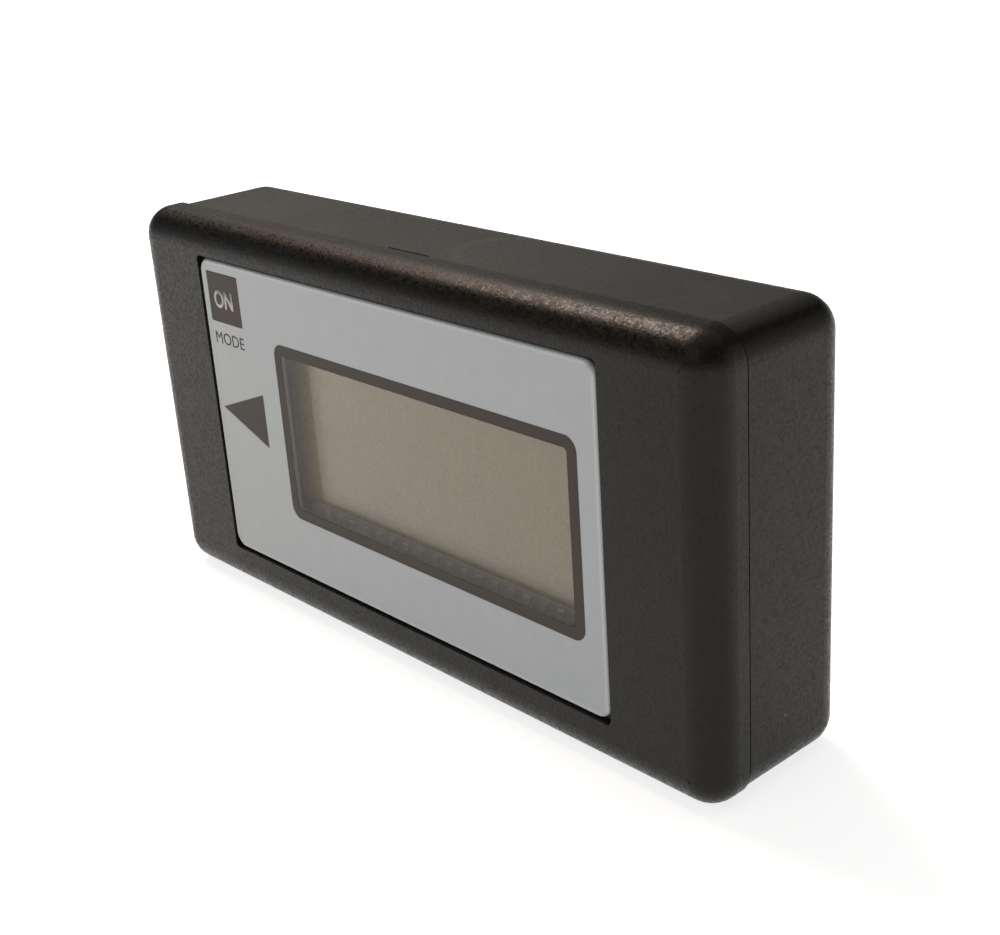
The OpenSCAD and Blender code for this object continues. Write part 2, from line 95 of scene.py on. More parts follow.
# How much glossier or duller than the rest the grains of the plastic can be, and the specular
# level that its pits leave
GLOSSIEST_GRAIN = 0.16
DULLEST_GRAIN = 0.1
PITTED_SPECULAR = 0.2
# The painted highlight along the label's rolled rim, from its outline inwards, and the bare cut
# edge of its film
PAINTED_RIM_HIGHLIGHT = (-0.7 * MM, -0.3 * MM)
CUT_WIDTH = 0.3 * MM
CUT_EDGE = "#77726A"
# Width of one turn of the winding, and after how many metres a wave texture at a scale of one
# repeats
WINDING_PITCH = 0.25 * MM
WAVE_REPEAT = 0.314
# Most of a noise texture lies between these values
NOISE_SPAN = (0.3, 0.7)
# Sockets of the Mix node for colours
SHARE, FIRST, SECOND, MIXED = 0, 6, 7, 2
# Where the camera stands and how it is turned, in metres and degrees
CAMERA_PLACE = (131.821 * MM, -108.255 * MM, 90.759 * MM)
CAMERA_TURN = (67.889, 3.733, 47.416)
# What the lamps are aimed at
LAMP_AIM = (0, 0, 20 * MM)


def linear(code):
    """An sRGB hex colour as linear red, green, blue and alpha."""
    channels = [int(code[i : i + 2], 16) / 255 for i in (1, 3, 5)]
    plain = [c / 12.92 if c <= 0.04045 else ((c + 0.055) / 1.055) ** 2.4 for c in channels]
    return (*plain, 1.0)


def toned(colour, factor):
    """The colour, darker or lighter by a factor."""
    return tuple(min(1.0, c * factor) for c in colour[:3]) + (1.0,)


def add(tree, kind, inputs=(), out=0, **settings):
    """Adds a shader node with its settings and links. The inputs are values, or the sockets that
    feed them, in the order of the node's sockets or by name or number. Gives back one of its
    outputs, or all of them when out is None."""
    made = tree.nodes.new("ShaderNode" + kind)
    for name, value in settings.items():
        setattr(made, name, value)
    for key, value in inputs.items() if isinstance(inputs, dict) else enumerate(inputs):
        if isinstance(value, bpy.types.NodeSocket):
            tree.links.new(value, made.inputs[key])
        else:
            made.inputs[key].default_value = value
    return made.outputs if out is None else made.outputs[out]


def begin(name):
    """A new node material: the material, its tree, its shader and its Object coordinates."""
    made = bpy.data.materials.new(name)
    made.use_nodes = True
    tree = made.node_tree
    return made, tree, tree.nodes["Principled BSDF"], add(tree, "TexCoord", out="Object")


def dress(tree, shader, colour=None, roughness=None, normal=None, **values):
    """Links what varies over a surface to its shader and sets the rest as plain values."""
    for name, socket in (("Base Color", colour), ("Roughness", roughness), ("Normal", normal)):
        if isinstance(socket, bpy.types.NodeSocket):
            tree.links.new(socket, shader.inputs[name])
        elif socket is not None:
            shader.inputs[name].default_value = socket
    for name, value in values.items():
        shader.inputs[name.replace("_", " ")].default_value = value


def outside_box(tree, place, low, high):
    """How far a place on the face lies outside a box, in metres; less than zero inside it."""
    parts = add(tree, "SeparateXYZ", [place], None)
    beyond = []
    for axis, start, end in zip("XZ", low, high):
        off = add(tree, "Math", [parts[axis], (start + end) / 2], operation="SUBTRACT")
        off = add(tree, "Math", [off], operation="ABSOLUTE")
        beyond.append(add(tree, "Math", [off, (end - start) / 2], operation="SUBTRACT"))
    return add(tree, "Math", beyond, operation="MAXIMUM")


def rubbed_arc(tree, place, middle):
    """How much paler a rub has left an arc round its middle: patchy, and only on its left side."""
    off = add(tree, "VectorMath", [place, middle], "Value", operation="DISTANCE")
    off = add(tree, "Math", [off, SCUFF_RADIUS], operation="SUBTRACT")
    off = add(tree, "Math", [off], operation="ABSOLUTE")
    rubbed = add(tree, "MapRange", [off, *SCUFF_EDGES, SCUFF_STRENGTH, 0.0])
    patches = add(tree, "TexNoise", {"Vector": place, "Scale": 1 / (1.5 * MM), "Detail": 3.0})
    patches = add(tree, "MapRange", [patches, 0.35, 0.6, 0.0, 1.0])
    along = add(tree, "SeparateXYZ", [place], "X")
    left = add(tree, "MapRange", [along, middle[0] - 1 * MM, middle[0] + 1 * MM, 1.0, 0.0])
    for part in (patches, left):
        rubbed = add(tree, "Math", [rubbed, part], operation="MULTIPLY")
    return rubbed


def settled_dust(tree, tone, place, cloud, share, scuff):
    """The tone under a cloudy veil of dust on what faces up, a few pale specks, and the paler arc
    that a rub has left, when its middle is given."""
    facing = add(tree, "TexCoord", out="Normal")
    up = add(tree, "SeparateXYZ", [facing], "Z")
    veil = add(tree, "MapRange", [up, *DUSTY_SLOPE, 0.0, share])
    uneven = add(tree, "MapRange", [cloud, *NOISE_SPAN, 0.8, 1.2])
    veil = add(tree, "Math", [veil, uneven], operation="MULTIPLY")
    if scuff:
        rubbed = rubbed_arc(tree, place, scuff)
        veil = add(tree, "Math", [veil, rubbed], operation="ADD")
    # At most one speck in each 3 mm, and only where the coarser noise is high
    near = add(tree, "TexVoronoi", {"Vector": place, "Scale": 1 / SPECK_SPACING}, "Distance")
    near = add(tree, "MapRange", [near, *SPECK_EDGE, 1.0, 0.0])
    few = add(tree, "TexNoise", {"Vector": place, "Scale": 1 / (7 * MM)})
    few = add(tree, "Math", [few, 0.5], operation="GREATER_THAN")
    specks = add(tree, "Math", [near, few], operation="MULTIPLY")
    veil = add(tree, "Math", [veil, specks], operation="MAXIMUM")
    return add(tree, "Mix", {SHARE: veil, FIRST: tone, SECOND: linear(DUST)}, MIXED,
               data_type="RGBA")


def grained_plastic(name, colour, grain, roughness, depth, dust=0.0, scuff=None):
    """Plastic moulded in a spark-eroded tool: an even grain of tiny pits that sparkles where light
    grazes it, with a faint cloudiness. The pits swallow part of the light that falls straight in,
    so its gloss is weaker than that of a smooth plastic of the same IOR. Real grains are 0.03 to
    0.1 mm wide, too fine to show, so they are drawn up to a few times as wide."""
    made, tree, shader, place = begin(name)
    soft = add(tree, "TexNoise", {
        "Vector": place, "Scale": 1 / grain, "Detail": 3.0, "Roughness": 0.65,
    })
    cells = add(tree, "TexVoronoi", {"Vector": place, "Scale": 1 / grain}, None)
    height = add(tree, "Math", [soft, cells["Distance"]], operation="ADD")
    facet = add(tree, "SeparateXYZ", [cells["Color"]], "X")
    cloud = add(tree, "TexNoise", {"Vector": place, "Scale": 1 / (18 * MM)})
    tone = add(tree, "Mix", {
        SHARE: cloud, FIRST: toned(colour, 0.85), SECOND: toned(colour, 1.15),
    }, MIXED, data_type="RGBA")
    if dust:
        tone = settled_dust(tree, tone, place, cloud, dust, scuff)
    matt = add(tree, "MapRange", [
        facet, 0.0, 1.0, roughness - GLOSSIEST_GRAIN, roughness + DULLEST_GRAIN,
    ])
    pits = add(tree, "Bump", {"Height": height, "Distance": depth})
    dress(tree, shader, tone, matt, pits, IOR=1.5, Specular_IOR_Level=PITTED_SPECULAR)
    return made


def satin_film(name, colour):
    """Satin polycarbonate film over silver ink: a soft sheen with a fine fleck and faint mottling,
    a painted highlight along its rolled rim, and duller on the cut edge of the window. The fleck is
    drawn about three times as coarse as the real one, which is too fine to show."""
    made, tree, shader, place = begin(name)
    fleck = add(tree, "TexNoise", {"Vector": place, "Scale": 1 / (0.12 * MM)})
    mottle = add(tree, "TexNoise", {"Vector": place, "Scale": 1 / (2.5 * MM), "Detail": 3.0})
    both = add(tree, "Math", [fleck, mottle], operation="MULTIPLY")
    both = add(tree, "MapRange", [both, 0.1, 0.4, 0.0, 1.0])
    tone = add(tree, "Mix", {
        SHARE: both, FIRST: toned(colour, 0.95), SECOND: toned(colour, 1.05),
    }, MIXED, data_type="RGBA")
    edge = outside_box(tree, place, (LABEL_LOW.x, LABEL_LOW.z), (LABEL_HIGH.x, LABEL_HIGH.z))
    # Painted highlight: lighter along the rolled rim, where it catches the light
    rim = add(tree, "MapRange", [edge, *PAINTED_RIM_HIGHLIGHT, 0.0, 1.0])
    tone = add(tree, "Mix", {SHARE: rim, FIRST: tone, SECOND: toned(colour, 1.3)}, MIXED,
               data_type="RGBA")
    off = outside_box(tree, place, WINDOW_LOW, WINDOW_HIGH)
    cut = add(tree, "Math", [off, CUT_WIDTH], operation="LESS_THAN")
    tone = add(tree, "Mix", {SHARE: cut, FIRST: tone, SECOND: linear(CUT_EDGE)}, MIXED,
               data_type="RGBA")
    matt = add(tree, "MapRange", [mottle, *NOISE_SPAN, 0.34, 0.42])
    texture = add(tree, "Bump", {"Height": fleck, "Distance": 0.003 * MM})
    dress(tree, shader, tone, matt, texture, IOR=1.58)
    return made


def screen_ink(name, colour):
    """Screen-printed ink: even and flat, with the faint weave that the screen leaves in it, drawn a
    little coarser than the real 0.1 mm so that it shows."""
    made, tree, shader, place = begin(name)
    weave = add(tree, "TexNoise", {"Vector": place, "Scale": 1 / (0.15 * MM), "Detail": 1.0})
    tone = add(tree, "Mix", {
        SHARE: weave, FIRST: toned(colour, 0.88), SECOND: toned(colour, 1.08),
    }, MIXED, data_type="RGBA")
    matt = add(tree, "MapRange", [weave, *NOISE_SPAN, 0.46, 0.56])
    texture = add(tree, "Bump", {"Height": weave, "Distance": 0.002 * MM})
    dress(tree, shader, tone, matt, texture, Specular_IOR_Level=0.3)
    return made


def clear_sheet(name, tint, roughness, index, haze=None):
    """Clear acrylic or glass: what lies behind shows through it, with a sharp faint reflection that
    grows towards grazing, and thin smears of handling in its gloss. The haze is that of a glass
    with a conductive coating and a seal round its rim."""
    made, tree, shader, place = begin(name)
    smear = add(tree, "TexNoise", {"Vector": place, "Scale": 1 / (6 * MM), "Detail": 3.0})
    smear = add(tree, "MapRange", [smear, 0.4, 0.7, roughness, roughness + 0.06])
    gloss = add(tree, "BsdfGlossy", {"Roughness": smear})
    through = add(tree, "BsdfTransparent", {"Color": tint})
    if haze:
        cloudy = add(tree, "BsdfDiffuse", {"Color": haze})
        through = add(tree, "MixShader", [HAZE_SHARE, through, cloudy])
    # Schlick's estimate of how the reflection grows from head on to grazing
    head_on = ((index - 1) / (index + 1)) ** 2
    facing = add(tree, "LayerWeight", {"Blend": 0.5}, "Facing")
    grazing = add(tree, "Math", [facing, 5.0], operation="POWER")
    grazing = add(tree, "Math", [grazing, 1 - head_on], operation="MULTIPLY")
    share = add(tree, "Math", [grazing, head_on], operation="ADD")
    both = add(tree, "MixShader", [share, through, gloss])
    tree.links.new(both, tree.nodes["Material Output"].inputs["Surface"])
    tree.nodes.remove(shader)
    return made


def plated_metal(name, colour, roughness, grain, along=(1.0, 1.0, 1.0), metallic=1.0):
    """Plated, rolled or polished metal: drawn-out scratches vary its gloss, and tarnish its tone.
    Real scratches are about 0.02 mm wide, too fine to show, so they are drawn at the grain's width.
    A metallic below one scatters part of the light from the pale colour, as dull tin does; on the
    display clips that pale colour is partly a painted glint."""
    made, tree, shader, place = begin(name)
    turned = add(tree, "Mapping", {"Vector": place, "Scale": along})
    lines = add(tree, "TexNoise", {
        "Vector": turned, "Scale": 1 / grain, "Detail": 3.0, "Roughness": 0.6,
    })
    tarnish = add(tree, "TexNoise", {"Vector": place, "Scale": 1 / (3 * MM), "Detail": 3.0})
    tone = add(tree, "Mix", {
        SHARE: tarnish, FIRST: toned(colour, 0.8), SECOND: toned(colour, 1.1),
    }, MIXED, data_type="RGBA")
    matt = add(tree, "MapRange", [lines, *NOISE_SPAN, roughness - 0.08, roughness + 0.12])
    scratches = add(tree, "Bump", {"Height": lines, "Distance": 0.003 * MM})
    dress(tree, shader, tone, matt, scratches, Metallic=metallic)
    return made


def foam(name, colour, cell):
    """Closed-cell foam: a matt surface of small open bubbles, with painted shade in their hollows.
    """
    made, tree, shader, place = begin(name)
    bubbles = add(tree, "TexVoronoi", {"Vector": place, "Scale": 1 / cell}, "Distance")
    # Painted shade: darker in the hollows of the bubbles
    painted_bubble_shade = add(tree, "MapRange", [bubbles, 0.1, 0.6, 0.0, 1.0])
    tone = add(tree, "Mix", {SHARE: painted_bubble_shade, FIRST: toned(colour, 0.6), SECOND: colour}, MIXED,
               data_type="RGBA")
    dress(tree, shader, tone, 0.9, add(tree, "Bump", {"Height": bubbles, "Distance": 0.08 * MM}))
    return made


def polariser_film(name, colour):
    """Anti-glare polariser over a blank display: grey-green and very even, with a painted shade
    that makes it darker with a soft border at the left and along the foot, where the window's walls
    keep the light off. It also has a painted
    glow: it gives off a little light of its own, which lifts its shaded recess. The anti-glare
    texture is drawn ten times as coarse as the real one, which is too fine to show."""
    made, tree, shader, place = begin(name)
    cloud = add(tree, "TexNoise", {"Vector": place, "Scale": 1 / (14 * MM)})
    grit = add(tree, "TexNoise", {"Vector": place, "Scale": 1 / (0.2 * MM)})
    tone = add(tree, "Mix", {
        SHARE: cloud, FIRST: toned(colour, 0.97), SECOND: toned(colour, 1.03),
    }, MIXED, data_type="RGBA")
    parts = add(tree, "SeparateXYZ", [place], None)
    # Painted shade: darker towards the left side and the foot of the display
    lit = add(tree, "Math", [
        add(tree, "MapRange", [parts[axis], *edge, 0.0, 1.0], interpolation_type="SMOOTHSTEP")
        for axis, edge in (("X", SHADE_LEFT), ("Z", SHADE_FOOT))
    ], operation="MINIMUM")
    tone = add(tree, "Mix", {SHARE: lit, FIRST: toned(colour, 0.9), SECOND: tone}, MIXED,
               data_type="RGBA")
    matt = add(tree, "MapRange", [grit, *NOISE_SPAN, 0.26, 0.3])
    texture = add(tree, "Bump", {"Height": grit, "Distance": 0.0002 * MM})
    dress(tree, shader, tone, matt, texture, IOR=1.5)
    # Painted glow: the display's own tone is given off as light, lifting its shaded recess
    tree.links.new(tone, shader.inputs["Emission Color"])
    shader.inputs["Emission Strength"].default_value = DISPLAY_PAINTED_GLOW
    return made


def solder_mask(name):
    """Glass-epoxy board under green solder mask: copper tracks show as lighter green lines with
    right-angled turns, slightly raised, over the faint weave of the glass cloth."""
    made, tree, shader, place = begin(name)
    cells = add(tree, "TexVoronoi", {
        "Vector": place, "Scale": 1 / (3.2 * MM), "Randomness": 0.8,
    }, "Distance", distance="CHEBYCHEV")
    # Four rings of track in each cell
    rings = add(tree, "Math", [cells, 4.0], operation="MULTIPLY")
    rings = add(tree, "Math", [rings], operation="FRACT")
    rings = add(tree, "Math", [rings, 0.5], operation="SUBTRACT")
    rings = add(tree, "Math", [rings], operation="ABSOLUTE")
    track = add(tree, "MapRange", [rings, 0.2, 0.26, 1.0, 0.0])
    weave = add(tree, "TexNoise", {"Vector": place, "Scale": 1 / (0.5 * MM), "Detail": 3.0})
    tone = add(tree, "Mix", {
        SHARE: track, FIRST: linear("#0F3D24"), SECOND: linear("#1F6B3C"),
    }, MIXED, data_type="RGBA")
    shaded = add(tree, "Math", [weave, 0.3], operation="MULTIPLY")
    tone = add(tree, "Mix", {SHARE: shaded, FIRST: tone, SECOND: linear("#0A2A18")}, MIXED,
               data_type="RGBA")
    matt = add(tree, "MapRange", [weave, *NOISE_SPAN, 0.25, 0.4])
    raised = add(tree, "Bump", {"Height": track, "Distance": 0.03 * MM})
    dress(tree, shader, tone, matt, raised)
    return made


def enamelled_winding(name, colour):
    """Turns of enamelled copper wire: fine rounded bands across the axis, with painted shade in the
    grooves between them, under a glossy varnish.
    The real wire is about 0.1 mm thick, too fine to show, so its turns are drawn wider."""
    made, tree, shader, place = begin(name)
    turns = add(tree, "TexWave", {
        "Vector": place, "Scale": WAVE_REPEAT / WINDING_PITCH, "Distortion": 0.4, "Detail": 1.0,
    }, "Fac", bands_direction="X")
    patches = add(tree, "TexNoise", {"Vector": place, "Scale": 1 / (1.2 * MM)})
    # Painted shade: darker in the grooves between the turns
    tone = add(tree, "Mix", {SHARE: turns, FIRST: toned(colour, 0.35), SECOND: colour}, MIXED,
               data_type="RGBA")
    darker = add(tree, "Math", [patches, 0.4], operation="MULTIPLY")
    tone = add(tree, "Mix", {SHARE: darker, FIRST: tone, SECOND: toned(colour, 0.6)}, MIXED,
               data_type="RGBA")
    rounded = add(tree, "Bump", {"Height": turns, "Distance": 0.06 * MM})
    dress(tree, shader, tone, 0.32, rounded, Metallic=0.7, Coat_Weight=0.5)
    return made


def ended_chip(name, colour, middle, half):
    """A small fired ceramic part: a grainy body between two tinned end caps along Z. The grain is
    drawn at 0.15 mm, far coarser than the real one, which is too fine to show."""
    made, tree, shader, place = begin(name)
    height = add(tree, "SeparateXYZ", [place], "Z")
    off = add(tree, "Math", [height, middle], operation="SUBTRACT")
    off = add(tree, "Math", [off], operation="ABSOLUTE")
    cap = add(tree, "MapRange", [off, half * 0.62, half * 0.66, 0.0, 1.0])
    grit = add(tree, "TexNoise", {"Vector": place, "Scale": 1 / (0.15 * MM)})
    body = add(tree, "Mix", {
        SHARE: grit, FIRST: toned(colour, 0.8), SECOND: toned(colour, 1.15),
    }, MIXED, data_type="RGBA")
    tone = add(tree, "Mix", {SHARE: cap, FIRST: body, SECOND: linear("#C9C8C2")}, MIXED,
               data_type="RGBA")
    metal = add(tree, "Math", [cap, 0.9], operation="MULTIPLY")
    tree.links.new(metal, shader.inputs["Metallic"])
    matt = add(tree, "MapRange", [grit, *NOISE_SPAN, 0.35, 0.5])
    texture = add(tree, "Bump", {"Height": grit, "Distance": 0.01 * MM})
    dress(tree, shader, tone, matt, texture)
    return made


def wear(finish, *nodes):
    """Gives CAD nodes their finish."""
    for node in nodes:
        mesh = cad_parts[node].data
        mesh.materials.clear()
        mesh.materials.append(finish)


def piece(name, bm, finish, body, slot, *stands_for):
    """Makes a finished mesh a piece of the object that rides on a body."""
    mesh = bpy.data.meshes.new(name)
    bm.to_mesh(mesh)
    bm.free()
    mesh.materials.append(finish)
    made = bpy.data.objects.new(name, mesh)
    bpy.context.scene.collection.objects.link(made)
    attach(made, body)
    if stands_for:
        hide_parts(*stands_for)
    return made


def merged(node):
    """The CAD node's mesh with its loose triangles joined and its flat faces made whole."""
    bm = bmesh.new()
    bm.from_mesh(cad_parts[node].data)
    bmesh.ops.remove_doubles(bm, verts=bm.verts, dist=0.002 * MM)
    bmesh.ops.dissolve_limit(bm, angle_limit=math.radians(0.3), verts=bm.verts, edges=bm.edges)
    return bm


def shade(bm, sharp=math.radians(35)):
    """Shades smooth, with hard edges past an angle."""
    bm.normal_update()
    for face in bm.faces:
        face.smooth = True
    for edge in bm.edges:
        edge.smooth = len(edge.link_faces) == 2 and edge.calc_face_angle() < sharp


def keep_flats_even(made):
    """Keeps flat faces evenly shaded beside their rounded edges."""
    modifier = made.modifiers.new("Even shading", "WEIGHTED_NORMAL")
    modifier.keep_sharp = True
    modifier.weight = 100


def rounded_outline(bm, low, high, radius, y, steps=8):
    """A face with rounded corners in the plane y, between two corners on the face."""
    corners = [(low[0], low[1]), (high[0], low[1]), (high[0], high[1]), (low[0], high[1])]
    face = bm.faces.new([bm.verts.new((x, y, z)) for x, z in corners])
    bmesh.ops.bevel(
        bm, geom=list(face.verts), affect="VERTICES", offset=radius, segments=steps,
        profile=0.5, material=-1,
    )


def raise_film(bm, film):
    """Gives a flat outline its thickness, towards the front."""
    made = bmesh.ops.extrude_face_region(bm, geom=list(bm.faces))
    moved = [v for v in made["geom"] if isinstance(v, bmesh.types.BMVert)]
    bmesh.ops.translate(bm, verts=moved, vec=(0, -film, 0))
    bmesh.ops.recalc_face_normals(bm, faces=bm.faces)


def print_word(context, text, name, low, high, y, film, bold, ink, body):
    """Prints a word of upright letters that fill a box on the label."""
    curve = bpy.data.curves.new(name + "_outline", "FONT")
    curve.body = text
    curve.resolution_u = 6
    curve.offset = bold
    holder = bpy.data.objects.new(name + "_outline", curve)
    context.scene.collection.objects.link(holder)
    mesh = bpy.data.meshes.new_from_object(holder.evaluated_get(context.evaluated_depsgraph_get()))
    bpy.data.objects.remove(holder)
    bm = bmesh.new()
    bm.from_mesh(mesh)
    bmesh.ops.remove_doubles(bm, verts=bm.verts, dist=0.0001)
    xs = [v.co.x for v in bm.verts]
    ys = [v.co.y for v in bm.verts]
    wide = (high[0] - low[0]) / (max(xs) - min(xs))
    tall = (high[1] - low[1]) / (max(ys) - min(ys))
    place = (
        Matrix.Translation((low[0], y, low[1]))
        @ Matrix.Rotation(math.radians(90), 4, "X")
        @ Matrix.Diagonal((wide, tall, 1, 1))
        @ Matrix.Translation((-min(xs), -min(ys), 0))
    )
    bmesh.ops.transform(bm, matrix=place, verts=bm.verts)
    raise_film(bm, film)
    piece(name, bm, ink, body, "label_ink")


class TachoCase(bpy.types.PropertyGroup):
    """Colour and grain of the moulded case."""

    colour: FloatVectorProperty(
        name="Shell colour", description="Black of the moulded shells", subtype="COLOR", size=4,
        min=0, max=1, default=linear("#18150F"),
    )
    grain: FloatProperty(
        # The real grain is about 0.1 mm wide, too fine to show, so it is drawn three times as wide
        name="Grain", description="Width of one grain of the spark-eroded surface", unit="LENGTH",
        subtype="DISTANCE", default=0.3 * MM,
    )
    grain_depth: FloatProperty(
        name="Grain depth", description="Depth of the grain", unit="LENGTH", subtype="DISTANCE",
        default=0.014 * MM,
    )


class TachoLabel(bpy.types.PropertyGroup):
    """Sizes and colours of the label and its print."""

    rolled_edge: FloatProperty(
        name="Rolled edge", description="Radius of the label's rounded front edge", unit="LENGTH",
        subtype="DISTANCE", default=0.4 * MM,
    )
    film: FloatProperty(
        name="Ink film", description="Thickness of the printed ink", unit="LENGTH",
        subtype="DISTANCE", default=0.02 * MM,
    )
    frame_line: FloatProperty(
        name="Frame line", description="Width of the printed line round the window", unit="LENGTH",
        subtype="DISTANCE", default=1.37 * MM,
    )
    frame_corner: FloatProperty(
        name="Frame corner", description="Outer corner radius of that line", unit="LENGTH",
        subtype="DISTANCE", default=1.6 * MM,
    )
    colour: FloatVectorProperty(
        name="Label colour", description="Silver grey of the label", subtype="COLOR", size=4,
        min=0, max=1, default=linear("#A2A7A9"),
    )
    ink: FloatVectorProperty(
        name="Ink colour", description="Dark brown grey of the print", subtype="COLOR", size=4,
        min=0, max=1, default=linear("#352E26"),
    )
    display: FloatVectorProperty(
        name="Display colour", description="Grey green of the blank display", subtype="COLOR",
        size=4, min=0, max=1, default=linear("#6C634A"),
    )


class TachoStage(bpy.types.PropertyGroup):
    """Floor, lights and camera."""

    lens: FloatProperty(
        name="Lens", description="Focal length of the camera", subtype="DISTANCE_CAMERA",
        default=56.91,
    )
    floor_size: FloatProperty(
        name="Floor", description="Width of the pale floor", unit="LENGTH", subtype="DISTANCE",
        default=6.0,
    )
    room_light: FloatProperty(
        name="Room light", description="Strength of the even light of the room", default=0.03,
    )


class TACHO_OT_case(bpy.types.Operator):
    """Finishes the two moulded shells"""

    bl_idname = "tacho.case"
    bl_label = "Case shells"

    def execute(self, context):
        sizes = context.scene.tacho_case
        # Front half, held and wiped more often: a little glossier and less dusty than the rear one
        wear(grained_plastic("spark_eroded_abs", sizes.colour, sizes.grain, 0.38,
                             sizes.grain_depth, dust=0.04), "front_shell")
        # Rear half, in the same plastic: a flatter grain under a veil of dust
        wear(grained_plastic("dusty_spark_eroded_abs", sizes.colour, sizes.grain, 0.42,
                             sizes.grain_depth / 2, dust=0.13, scuff=SCUFF_MIDDLE), "rear_shell")
        return {"FINISHED"}


class TACHO_OT_label(bpy.types.Operator):
    """Makes the label with its rolled front edge"""

    bl_idname = "tacho.label"
    bl_label = "Label"

    def execute(self, context):
        sizes = context.scene.tacho_label
        bm = merged("face_label")
        # The edges to roll lie in the front plane, this close to the outline of the label
        front = LABEL_LOW.y + 0.01 * MM
        margin = 1.2 * MM
        rim = []
        for edge in bm.edges:
            middle = (edge.verts[0].co + edge.verts[1].co) / 2
            outside = (
                min(middle.x - LABEL_LOW.x, LABEL_HIGH.x - middle.x) < margin
                or min(middle.z - LABEL_LOW.z, LABEL_HIGH.z - middle.z) < margin
            )
            turned = len(edge.link_faces) == 2 and edge.calc_face_angle() > math.radians(60)
            if outside and turned and all(v.co.y < front for v in edge.verts):
                rim.append(edge)
        bmesh.ops.bevel(
            bm, geom=rim, affect="EDGES", offset=sizes.rolled_edge, segments=5, profile=0.5,
            material=-1, clamp_overlap=True,
        )
        shade(bm)
        film = satin_film("satin_label_film", sizes.colour)
        keep_flats_even(piece("label_plate", bm, film, CASE, "label_film", "face_label"))
        wear(screen_ink("key_square_ink", sizes.ink), "label_key_area")
        return {"FINISHED"}


class TACHO_OT_print(bpy.types.Operator):
    """Prints the frame, the arrow and the words on the label"""

    bl_idname = "tacho.label_print"
    bl_label = "Print"

    def execute(self, context):
        sizes = context.scene.tacho_label
        ink = screen_ink("label_print_ink", sizes.ink)
        y = LABEL_LOW.y
        line = sizes.frame_line
        outer_low = [c - line for c in WINDOW_LOW]
        outer_high = [c + line for c in WINDOW_HIGH]
        bm = bmesh.new()
        rounded_outline(bm, outer_low, outer_high, sizes.frame_corner, y)
        rounded_outline(bm, WINDOW_LOW, WINDOW_HIGH, WINDOW_CORNER, y)
        bmesh.ops.delete(bm, geom=list(bm.faces), context="FACES_ONLY")
        bmesh.ops.bridge_loops(bm, edges=list(bm.edges))
        raise_film(bm, sizes.film)
        piece("window_frame_print", bm, ink, CASE, "label_ink")
        bm = bmesh.new()
        bm.faces.new([bm.verts.new((x, y, z)) for x, z in ARROW])
        raise_film(bm, sizes.film)
        piece("arrow_print", bm, ink, CASE, "label_ink")
        print_word(context, "MODE", "mode_print", MODE_LOW, MODE_HIGH, y, sizes.film,
                   0.0, ink, CASE)
        pale = screen_ink("key_letters_ink", linear("#B4B0AC"))
        print_word(context, "ON", "on_print", ON_LOW, ON_HIGH, KEY_SQUARE_FRONT, sizes.film,
                   ON_BOLD, pale, KEY)
        return {"FINISHED"}


class TACHO_OT_display(bpy.types.Operator):
    """Finishes the window, the display and its pins"""

    bl_idname = "tacho.display"
    bl_label = "Display"

    def execute(self, context):
        sizes = context.scene.tacho_label
        # Cast and polished window: nearly colourless, with a crisp faint reflection
        wear(clear_sheet("polished_acrylic", (0.97, 0.97, 0.96, 1.0), 0.02, 1.49), "window_lens")
        # Coated glass: a warm milky haze where its rim shows beside the film
        wear(clear_sheet("display_glass", (0.9, 0.9, 0.9, 1.0), 0.02, 1.52, linear("#E8E0D4")),
             "display_front_glass", "display_rear_glass")
        wear(polariser_film("antiglare_polariser", sizes.display), "display_polariser")
        # Aluminium on plastic foil: a bright, finely brushed sheen
        wear(plated_metal("aluminised_reflector", linear("#B9B7AE"), 0.35, 0.1 * MM, (1, 1, 8)),
             "display_reflector")
        # Bronze dipped in tin: a cool, slightly clouded silver
        wear(plated_metal("tinned_bronze", linear("#D5D6D3"), 0.25, 0.15 * MM),
             "switch_terminals", "controller_leads", "amplifier_leads")
        # Clips dipped in tin and left rough: pale and scattering, their cyan-white colour partly
        # tin and partly a painted glint, so that they show as small bright marks
        wear(plated_metal("tinned_clips_painted_glint", linear("#E4F2F4"), 0.3, 0.3 * MM, metallic=0.25),
             "display_pins")
        # Die-cut foams: dead matt, with bubbles at their real size
        wear(foam("grey_gasket_foam", linear("#6A6761"), 0.25 * MM), "window_gasket")
        wear(foam("white_foam_tape", linear("#E6E4DC"), 0.3 * MM), "display_spacer")
        return {"FINISHED"}


class TACHO_OT_key(bpy.types.Operator):
    """Finishes the ON key and the push switch under it"""

    bl_idname = "tacho.key"
    bl_label = "Key and switch"

    def execute(self, context):
        # Same tool finish as the shells, without their dust
        wear(grained_plastic("moulded_key_abs", linear("#2B2B2C"), 0.3 * MM, 0.45, 0.01 * MM),
             "on_key")
        # Glass fibres just under the skin make it dry and matt
        wear(grained_plastic("glass_filled_nylon", linear("#1A1A1B"), 0.12 * MM, 0.5, 0.01 * MM),
             "switch_base", "switch_stem")
        # Rolled stainless sheet: long fine lines one way
        wear(plated_metal("stainless_switch_sheet", linear("#C4C3BE"), 0.3, 0.1 * MM, (1, 1, 10)),
             "switch_cover", "switch_dome")
        return {"FINISHED"}


